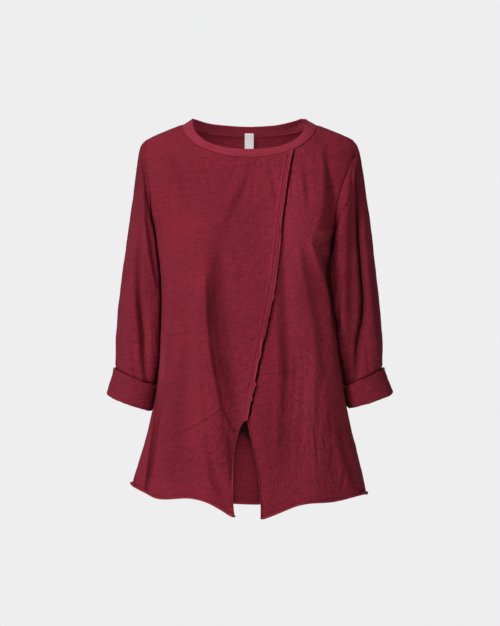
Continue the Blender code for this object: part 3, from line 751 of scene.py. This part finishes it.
# %% Find an opening's loops
def rim_loops(node):
    """The sharp edges round a CAD wall's rims: one array of places, in millimetres, for each loop."""
    form = merged_copy(node)
    rim = {edge for edge in form.edges if edge.calc_face_angle(0.0) > RIM_ANGLE}
    loops = []
    while rim:
        ring = [rim.pop()]
        for edge in ring:
            for vert in edge.verts:
                for other in vert.link_edges:
                    if other in rim:
                        rim.remove(other)
                        ring.append(other)
        places = [edge.verts[0].co.lerp(edge.verts[1].co, share) / MM for edge in ring
                  for share in np.arange(0, 1, 1.2 * MM / max(edge.calc_length(), 1.2 * MM))]
        loops.append(np.array(places))
    form.free()
    return loops


def gap_to(places, loops):
    """How far each place is from the nearest of these loops."""
    tree = tree_of(np.concatenate(loops))
    return np.array([tree.find(place)[2] for place in places])


BAND_SEAM, BAND_EDGE = (sorted(rim_loops("neckband"), key=len)[half] for half in (slice(2, 4), slice(0, 2)))

# %% [markdown]
# ## The three panels
# The larger front panel, the smaller one and the back are the same kind of work: take the sheet, refine it,
# press its creases, sink its seams and roll its raw hem and slit.

# %% Which edges are which
CLOTH = 1.1             # thickness drawn, close to real single jersey with its rolled edges
HEM_DROP = 670
SLIT_TOP = 562
SEAM_DROPS = (63, 104, 202, 292, 373, 447, 503, 564)    # the slanting seam's course, drop by drop
SEAM_SIDES = (79, 70, 57, 48, 33, 17, 5.5, -6)


def seam_side(drop):
    return np.interp(drop, SEAM_DROPS, SEAM_SIDES)


def is_hem(middle, along):
    return -middle.z > HEM_DROP and abs(along.x) + abs(along.y) > abs(along.z)


def is_slit(middle, along):
    return -middle.z > SLIT_TOP and abs(middle.x) < 40 and middle.y < 0 and not is_hem(middle, along)


def is_sewn(middle, along):
    return not is_hem(middle, along) and not is_slit(middle, along)


def is_inset(middle, along):
    """The neckline and the armholes, where a front panel goes on under the neckband and the sleeves."""
    beside_seam = abs(middle.x - seam_side(-middle.z)) < 8 and -middle.z > 70
    return is_sewn(middle, along) and middle.z > -212 and middle.y < -2 and not beside_seam


# %% Sew one sheet
def sew_sheet(node, name, material, creases, levels=3, uneven=0.7, draw=0.25, seed=1.0, tucked=None,
              tuck=(4.5, 1.5), before=None, after=None, shade=None):
    """Makes one piece of cloth on a CAD wall, up to its thickness. before changes the coarse sheet, after
    gives a further height, and shade a depth that only the colour of its front-facing side knows."""
    form = outer_sheet(node)
    if before:
        before(form)
    piece, places, outward = refined(form, name, material, levels)
    height = sum((press(places, outward, table, face) for face, table in creases.items()),
                 np.zeros(len(places)))
    height += unevenness(places, 34.0, uneven, seed)
    if after:
        height += after(places)
    put_points(piece, places + outward * height[:, None])
    # The crease depth is kept for the colour, which paints shade into the troughs.
    remember(piece, "fold", height)
    remember(piece, "crinkled", ramp(0.2 + patches_at(places, CREPED)))
    # Painted light and painted shade patches, on the side facing the front only.
    for looks, patches in (("worn", PAINTED_LIGHT_PATCHES), ("painted_shade", PAINTED_SHADE_PATCHES), ("dragged", DRAGGED)):
        remember(piece, looks, ramp(patches_at(places, patches) * (outward[:, 1] < 0)))
    form = form_of(piece)
    sink_seams(form, outline(form, is_sewn), draw)
    if tucked:
        tuck_edges(form, outline(form, tucked), *tuck)
    for belongs, radius, turn, steps in ((is_slit, 0.7, 150, 4), (is_hem, 1.15, 235, 6)):
        raw = outline(form, belongs)
        if raw:
            roll_edge(form, raw, radius, turn, steps, seed)
    thicken(form, piece, CLOTH)
    if shade:
        places, outward = points_of(piece)
        depth = np.empty(len(places))
        piece.data.attributes["fold"].data.foreach_get("value", depth)
        # Painted shade: the shade's depth darkens the colour only, not the shape.
        remember(piece, "fold", depth + shade(places) * ramp(0.5 - 3 * outward[:, 1]))
    hand_over(piece, node)
    return piece


# %% Along the slanting seam
def from_seam(places):
    """How far to the right of the slanting seam each place lies."""
    return places[:, 0] - seam_side(-places[:, 2])


def more_columns(form):
    """Two more columns in the smaller panel, just right of the lap, so that it can dip sharply there."""
    chosen = []
    for edge in form.edges:
        ends = from_seam(np.array([vert.co / MM for vert in edge.verts]))
        if min(ends) < 7.5 < max(ends) and abs(ends[0] - ends[1]) > 8:
            chosen.append(edge)
    pairs = {}
    for edge in chosen:
        near, far = sorted(edge.verts, key=lambda vert: from_seam(np.array([vert.co / MM]))[0])
        pairs[frozenset((near, far))] = (near, far)
    made = bmesh.ops.subdivide_edges(form, edges=chosen, cuts=1, use_grid_fill=True)
    for vert in {item for item in made["geom_inner"] if isinstance(item, bmesh.types.BMVert)}:
        around = [edge.other_vert(vert) for edge in vert.link_edges]
        for pair, (near, far) in pairs.items():
            if near in around and far in around:
                vert.co = near.co.lerp(far.co, 0.35)


def along_seam(places):
    """1 along the slanting seam, 0 above the neckline and below the top of the slit."""
    return ramp((-places[:, 2] - 60) / 6) * ramp((560 + places[:, 2]) / 8)


def side_shade(places):
    """Painted shadow in two narrow gaps, nearly black: beside the raw edge and along the neckband's right
    side.
    """
    lap = -12.5 * np.exp(-((from_seam(places) - 4.4) / 1.9) ** 4) * along_seam(places)
    neck = -11.0 * bell(gap_to(places, BAND_SEAM) / 1.7) * ramp((places[:, 0] - 66) / 20)
    return np.minimum(lap, neck) + patches_at(places, SHADED)


# %% What the front panels do beside the seam
def widen_arch(places, side):
    """Rounds the top of the slit, by moving one panel's points beside it away from the other's."""
    places[:, 0] += side * bell((-places[:, 2] - 565) / 6) * bell((places[:, 0] + 6) / 9)


def main_extra(places):
    """The larger panel rises to a soft ridge just before its stitching."""
    widen_arch(places, -0.8)
    return 1.3 * bell((from_seam(places) + 7.6) / 1.6) * along_seam(places)


def side_extra(places):
    """The smaller panel runs in under the lap, so it dips along the raw edge."""
    widen_arch(places, 2.4)
    return -6.0 * bell((from_seam(places) - 3.4) / 2.6) * along_seam(places)


# %% Shadows too narrow or too deep for light
# drop and side of the valley's floor
VALLEY = ((480, -169), (500, -172), (570, -178), (626, -185), (670, -190), (705, -195))
# drop, left and right of the slit
SLIT = ((564, -8, -4), (567, -13, -3), (572, -16, -1.8), (600, -24.5, 3.7), (618, -27.6, 8),
        (659, -30.7, 17), (700, -31.5, 21), (744, -27, 21.5))


def look_up(table, at):
    """The table's other columns, between its rows, where the first one is at."""
    first, *others = np.array(table, float).T
    return [np.interp(at, first, column) for column in others]


def main_shade(places):
    """The valley that runs down from the left cuff to the hem is too narrow for light to reach its floor."""
    drop = -places[:, 2]
    side, = look_up(VALLEY, drop)
    width = np.interp(drop, [500, 700], [2.2, 3.6])
    return -9.0 * bell((places[:, 0] - side) / width) * ramp((drop - 480) / 40)


def slit_shadow(places):
    """What of the back shows through the slit lies 230 mm behind it. It is dark beside the slit's edges, and
    darkest under its top, where the two panels hide it from the light."""
    drop, side = 366 - (places[:, 2] + 366) / 1.04, places[:, 0] / 1.04
    left, right = look_up(SLIT, drop)
    gap = np.minimum(side - left, right - side)
    beside = np.where(gap > 0, np.exp(-gap / 7), np.exp(-(gap / 11) ** 2))
    top = 14.5 * np.exp(-(np.clip(drop - 563, 0, None) / 38) ** 2 - (side / 30) ** 2)
    return -(top + 12.0 * beside) * ramp((drop - 540) / 16)


def back_shade(places):
    """The slit's shadow, and the label's on its right."""
    beside = bell((places[:, 0] - 10.5) / 2.0) * ramp((-places[:, 2] - 34) / 14)
    return slit_shadow(places) - 12.0 * beside * (places[:, 2] > -84)


# %% Sew the panels
front_main = sew_sheet("front_main", "larger_front_panel", body_cloth, {FRONT: FRONT_CREASES}, seed=1.0,
                       tucked=is_inset, after=main_extra, shade=main_shade)
front_side = sew_sheet("front_side", "smaller_front_panel", body_cloth, {FRONT: FRONT_CREASES}, seed=2.0,
                       tucked=is_inset, before=more_columns, after=side_extra, shade=side_shade)
back = sew_sheet("back", "back_panel", body_cloth, {BACK: BACK_CREASES}, levels=2, seed=3.0,
                 tucked=is_sewn, tuck=(3.5, 0.5), shade=back_shade)

# %% [markdown]
# ## Sleeves
# The sleeves hang straight and break into long soft folds. They are tubes, so only their armhole end is sewn.
# Just above each cuff the sleeve goes in, because the turned-up cloth holds it there.

# %% Where the cuffs' upper edges run
cuff_tops = {hand: sorted(rim_loops("cuff_" + hand), key=lambda loop: loop[:, 2].mean())[2:]
             for hand in ("left", "right")}
print("loops round the cuffs' tops:", {hand: len(loops) for hand, loops in cuff_tops.items()})


# %% Sew the sleeves
def near_cuff(hand, height, width):
    """A swell, or a dip below 0, along the cuff's upper edge, and the swells towards the body."""
    return lambda places: patches_at(places, FULL) + height * bell(gap_to(places, cuff_tops[hand]) / width)


def cuff_shadow(hand):
    return lambda places: -7.0 * np.exp(-(gap_to(places, cuff_tops[hand]) / 3.4) ** 4)


sleeves = {}
for hand, seed in (("left", 4.0), ("right", 5.0)):
    folds = {face: SLEEVE_CREASES["sleeve_" + hand, face] for face in (FRONT, BACK)}
    sleeves[hand] = sew_sheet("sleeve_" + hand, hand + "_sleeve", sleeve_cloth, folds, draw=0.4, seed=seed,
                              after=near_cuff(hand, -3.2, 3.6), shade=cuff_shadow(hand))

# %% [markdown]
# ## Closed pieces: neckband, cuffs and label
# These are two layers of cloth or a folded tape, so the whole closed wall is refined and keeps its rim. The
# cuff's upper edge is a fold that stands a little proud, and the neckband is sewn down along a fine groove.
# The neckband stands up a little at the shoulders, more on the right.

# %% Refine the closed pieces
def closed_piece(node, name, material, levels, uneven, crisp=0.7, shape=None):
    """Makes one closed piece. shape moves the places it is given, and returns their further height."""
    form = merged_copy(node)
    into_quads(form)
    sharp = form.edges.layers.float.new("crease_edge")
    for edge in form.edges:
        if edge.calc_face_angle(0.0) > RIM_ANGLE:
            edge[sharp] = crisp
    piece, places, outward = refined(form, name, material, levels)
    height = unevenness(places, 18.0, uneven, 6.0)
    if shape:
        height += shape(places)
    put_points(piece, places + outward * height[:, None])
    # The grooves are kept for the colour, which paints shade into them.
    remember(piece, "fold", height)
    remember(piece, "worn", np.zeros(len(places)))
    hand_over(piece, node)
    return piece


# %% Neckband and cuffs
# side, and how far the neckband is lifted there
BAND_LIFTS = (
    (-124, 0), (-118, 0.6), (-112, 1.3), (-105, 2.3), (-100, 2.9), (-94, 2.4), (-87, 1.5), (-80, 0.7),
    (-70, 0), (50, 0), (64, 1.4), (71, 2.2), (79, 3.1), (86, 3.9), (93, 5), (98, 5.4), (102, 3.6),
    (106, 1.4), (112, 0.2))


def sewn_band(places):
    gap = gap_to(places, BAND_SEAM)
    up, = look_up(BAND_LIFTS, places[:, 0])
    places[:, 2] += up * ramp(gap / 15) * ramp((places[:, 1] + 40) / 30)
    return 0.25 * bell(gap_to(places, BAND_EDGE) / 1.8) - 0.55 * bell((gap - 3.8) / 0.8)


neckband = closed_piece("neckband", "neckband_strip", edge_cloth, 3, 0.15, shape=sewn_band)
cuffs = {hand: closed_piece("cuff_" + hand, hand + "_cuff", sleeve_cloth, 3, 0.8,
                            shape=near_cuff(hand, 0.9, 2.4)) for hand in ("left", "right")}

# %% [markdown]
# ## The raw lap
# The larger panel laps over the smaller one and ends in a raw edge, stitched down a little way in. Its left
# side runs flush into the panel, the stitching presses a groove, and the raw edge stands up and curls. The
# edge isn't straight: it steps in and out where the curl catches, most of all near the slit.

# %% Lap and its raw edge
LAP_HALF = 5.0          # half the lap's width
LAP_BACK = 2.9          # the raw edge is drawn back by the roll's own size
# drop, and how far the raw edge steps out there
RAW_STEPS = (
    (60, 0), (140, 0.3), (196, -0.4), (240, 0.4), (290, -0.2), (331, 0.5), (338, 1.3), (346, 0.1),
    (396, 0.3), (410, 0.9), (416, -0.5), (436, 0), (444, 1.2), (455, -0.3), (492, -0.2), (497, 2.2),
    (508, 1.4), (516, -0.1), (526, 0.8), (533, -0.5), (548, 0.4), (564, 0.0))


def raw_lap():
    piece, places, outward = refined(outer_sheet("seam_edge"), "raw_lap", raw_cloth, 4)
    u = from_seam(places) / LAP_HALF
    rise = -2.1 * ramp((-0.68 - u) / 0.32) ** 1.2
    rise -= 0.9 * bell((u + 0.64) / 0.14)
    rise += 2.4 * ramp((u - 0.2) / 0.8) ** 2
    rise += unevenness(places, 9.0, 0.7, 8.0) * ramp(u + 0.3)
    step, = look_up(RAW_STEPS, -places[:, 2])
    step = step * 1.5 - LAP_BACK + unevenness(places * (0, 0, 1), 6.0, 1.0, 9.0)
    places[:, 0] += step * ramp((u - 0.1) / 0.9) ** 1.5
    put_points(piece, places + outward * rise[:, None])
    # The dips are kept for the colour, which paints shade into them.
    remember(piece, "fold", np.minimum(rise, 0))
    remember(piece, "worn", 0.5 * ramp((u - 0.5) * 2))
    form = form_of(piece)
    raw = outline(form, lambda middle, along: abs(along.z) > 0.6 and middle.x > seam_side(-middle.z) + 1)
    roll_edge(form, raw, 0.75, 190, 4, 9.0)
    thicken(form, piece, 0.8)
    hand_over(piece, "seam_edge")
    return piece


lap = raw_lap()

# %% Label
def ribbed(name, turn, rib, direction, distortion, colours, rough):
    """A material of fine ribs in two colours, with its tree, its shader and the ribs' pattern."""
    made, tree, shader, place = new_material(name)
    turned = add(tree, "Mapping", {"Vector": place, "Rotation": turn}).outputs[0]
    ribs = add(tree, "TexWave", {"Vector": turned, "Scale": 1000 / rib / 6.283, "Distortion": distortion},
               bands_direction=direction).outputs["Fac"]
    feed(tree, shader, {"Base Color": mixed(tree, ribs, *map(srgb, colours)), "Roughness": rough})
    return made, tree, shader, ribs


tape, tree, shader, ribs = ribbed("woven_white_tape", (0, 0, 0), 1.6, "Z", 0.4, ("f6f5f1", "efede8"), 0.7)
bump = add(tree, "Bump", {"Height": ribs, "Strength": 0.12, "Distance": 0.2 * MM})
feed(tree, shader, {"Normal": bump.outputs["Normal"]})
label = closed_piece("label", "neck_label", tape, 2, 0.0)

# %% [markdown]
# ## Stitching
# Twin rows hold the neckband down, and one row holds the lap. Each stitch is a short thread that comes out of
# the cloth, lies on it and goes back in, so its ends are sunk and thin. The rows follow lines on the finished
# pieces, found by the nearest place on their surface.

# %% Make one stitch
def add_thread(form, start, middle, end, radius):
    """One stitch: a short bent thread through three places, thin at its ends."""
    along = (end - start).normalized()
    side = along.orthogonal().normalized()
    other = along.cross(side)
    rings = []
    for share in (0.0, 0.25, 0.5, 0.75, 1.0):
        place = start * (1 - share) ** 2 + middle * 2 * share * (1 - share) + end * share ** 2
        size = radius * (0.5 + 0.5 * math.sin(share * math.pi))
        rings.append([form.verts.new((place + (side * math.cos(turn) + other * math.sin(turn)) * size) * MM)
                      for turn in np.arange(6) * math.pi / 3])
    for ring, following in zip(rings, rings[1:]):
        for i in range(6):
            form.faces.new((ring[i - 1], ring[i], following[i], following[i - 1]))
    form.faces.new(rings[0])
    form.faces.new(rings[-1])


# %% Sew along a line
def surface_of(piece):
    return bvhtree.BVHTree.FromObject(piece, bpy.context.evaluated_depsgraph_get())


def stitch_row(form, piece, line, length=2.7, gap=1.2, radius=0.3):
    """Stitches along a line of places in millimetres, laid on the piece's surface."""
    surface = surface_of(piece)
    steps = np.linalg.norm(np.diff(line, axis=0), axis=1)
    runs = np.concatenate([[0], np.cumsum(steps)])

    def on_surface(run, lift):
        place = Vector([np.interp(run, runs, line[:, axis]) for axis in range(3)])
        found, outward = surface.find_nearest(place * MM)[:2]
        return found / MM + outward * lift

    for start in np.arange(0, runs[-1] - length, length + gap):
        pull = 0.15 * noise.noise(Vector((start, 3, 5)))
        add_thread(form, on_surface(start, -0.25), on_surface(start + length / 2, 0.45 + pull),
                   on_surface(start + length, -0.25), radius)


# %% Lines round the neckband
def band_line(loop, inside):
    """A line round the neckband, so far inside its sewn edge."""
    order = np.argsort(np.arctan2(loop[:, 0], -loop[:, 1] - 15))
    tree = tree_of(np.concatenate(BAND_EDGE))
    line = []
    for place in loop[order][::3]:
        across = np.array(tree.find(place)[0]) - place
        line.append(place + across * inside / np.linalg.norm(across))
    return np.array(line)


# %% Sew the rows
TWIN_ROWS = (3.2, 4.9)  # how far inside the neckband's sewn edges
LAP_ROW = 3.2           # how far left of the slanting seam
stitches = bmesh.new()
for loop in BAND_SEAM:
    for inside in TWIN_ROWS:
        stitch_row(stitches, neckband, band_line(loop, inside))
drops = np.arange(68.0, 556.0, 2.0)
lap_line = np.stack([seam_side(drops) - LAP_ROW, np.full(len(drops), -200.0), -drops], axis=1)
surface = surface_of(lap)
for place in lap_line:
    hit = surface.ray_cast(Vector(place) * MM, Vector((0, 1, 0)))[0]
    place[1] = hit.y / MM if hit else np.nan
stitch_row(stitches, lap, lap_line[~np.isnan(lap_line[:, 1])])
bmesh.ops.recalc_face_normals(stitches, faces=stitches.faces)

# %% Thread
thread = ribbed("cotton_thread", (0.0, math.radians(40), math.radians(30)), 0.5, "X", 0.0,
                ("6f1a29", "8e2d3d"), 0.75)[0]
sewing = piece_from(stitches, "sewing_thread", thread)
sewing.data.shade_smooth()
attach(sewing, "root")
print("stitches:", len(sewing.data.polygons) // 26)

# %% [markdown]
# ## What each piece was cut from
# Flat sizes are width and length in metres, all round on a sleeve or cuff. Where the cut isn't a rectangle
# its area is given too.

for piece, flat, area in (
        (front_main, (0.48, 0.74), 0.20), (front_side, (0.34, 0.74), 0.16), (back, (0.68, 0.74), 0.38),
        (sleeves["left"], (0.34, 0.51), 0.135), (sleeves["right"], (0.34, 0.51), 0.135),
        (cuffs["left"], (0.27, 0.075), 0.0155), (cuffs["right"], (0.27, 0.075), 0.0150),
        (neckband, (0.70, 0.0195), None), (lap, (0.013, 0.55), None), (label, (0.017, 0.060), None)):
    printed = sum(face.area for face in piece.data.polygons) / 2
    print(piece.name, "surface of one side", round(printed, 5), "m2; flat", area or flat[0] * flat[1])

# %% Floor
stage_floor = bmesh.new()
bmesh.ops.create_circle(stage_floor, cap_ends=True, segments=96, radius=3.6)
bmesh.ops.translate(stage_floor, verts=stage_floor.verts, vec=(0, 0, -1.45))
pale, tree, shader = new_material("pale_floor")[:3]
feed(tree, shader, {"Base Color": srgb("f0f0f0"), "Roughness": 0.8})
floor = piece_from(stage_floor, "floor", pale)

# %% Studio light
world = scene.world = bpy.data.worlds.new("studio")
world.use_nodes = True
sky = world.node_tree
seen_back = sky.nodes["Background"]
feed(sky, seen_back, {"Color": srgb("eeeeef"), "Strength": 1.0})
soft_light = add(sky, "Background", {"Color": srgb("f4f4f6"), "Strength": 0.10})
both = add(sky, "MixShader", {0: add(sky, "LightPath", {}).outputs["Is Camera Ray"],
                              1: soft_light.outputs[0], 2: seen_back.outputs[0]})
feed(sky, sky.nodes["World Output"], {"Surface": both.outputs[0]})


MIDDLE = (0, 0, -0.36)
for name, place, size, power, aim in (
        ("key", (-2.7, -2.8, 2.5), (0.8, 0.8), 198, MIDDLE),
        ("front", (0.3, -4.4, 0.35), (1.5, 1.5), 34, MIDDLE),
        ("fill", (3.0, -2.6, 0.9), (1.6, 1.6), 13, MIDDLE),
        ("behind", (0.0, 4.4, 1.2), (1.6, 1.6), 120, MIDDLE),
        ("inside_neck", (0.0, -0.035, -0.10), (0.16, 0.04), 0.05, (0.0, 0.06, -0.035)),
        ("inside_hem", (-0.005, -0.04, -0.66), (0.10, 0.16), 0.10, (-0.005, 0.13, -0.70))):
    lamp = bpy.data.lights.new(name, "AREA")
    lamp.shape = "RECTANGLE"
    lamp.size, lamp.size_y = size
    lamp.energy = power
    holder = bpy.data.objects.new(name, lamp)
    holder.location = place
    holder.rotation_euler = (Vector(aim) - Vector(place)).to_track_quat("-Z", "Y").to_euler()
    if aim != MIDDLE:
        holder.visible_camera = False
    scene.collection.objects.link(holder)

# %% Camera
PIXEL = 1.88            # millimetres in one pixel of the frame, at the garment
FRAME_HEIGHT = 626      # pixels
DISTANCE = 6000
SENSOR = 36.0
lens = bpy.data.cameras.new("camera")
camera = bpy.data.objects.new("camera", lens)
scene.collection.objects.link(camera)
camera.location = (1.3 * MM, -DISTANCE * MM, -365.7 * MM)
camera.rotation_euler = (math.radians(90), 0, 0)
lens.sensor_width = SENSOR
lens.lens = SENSOR * DISTANCE / (FRAME_HEIGHT * PIXEL)
lens.clip_end = 60
scene.camera = camera
scene.view_settings.view_transform = "Standard"
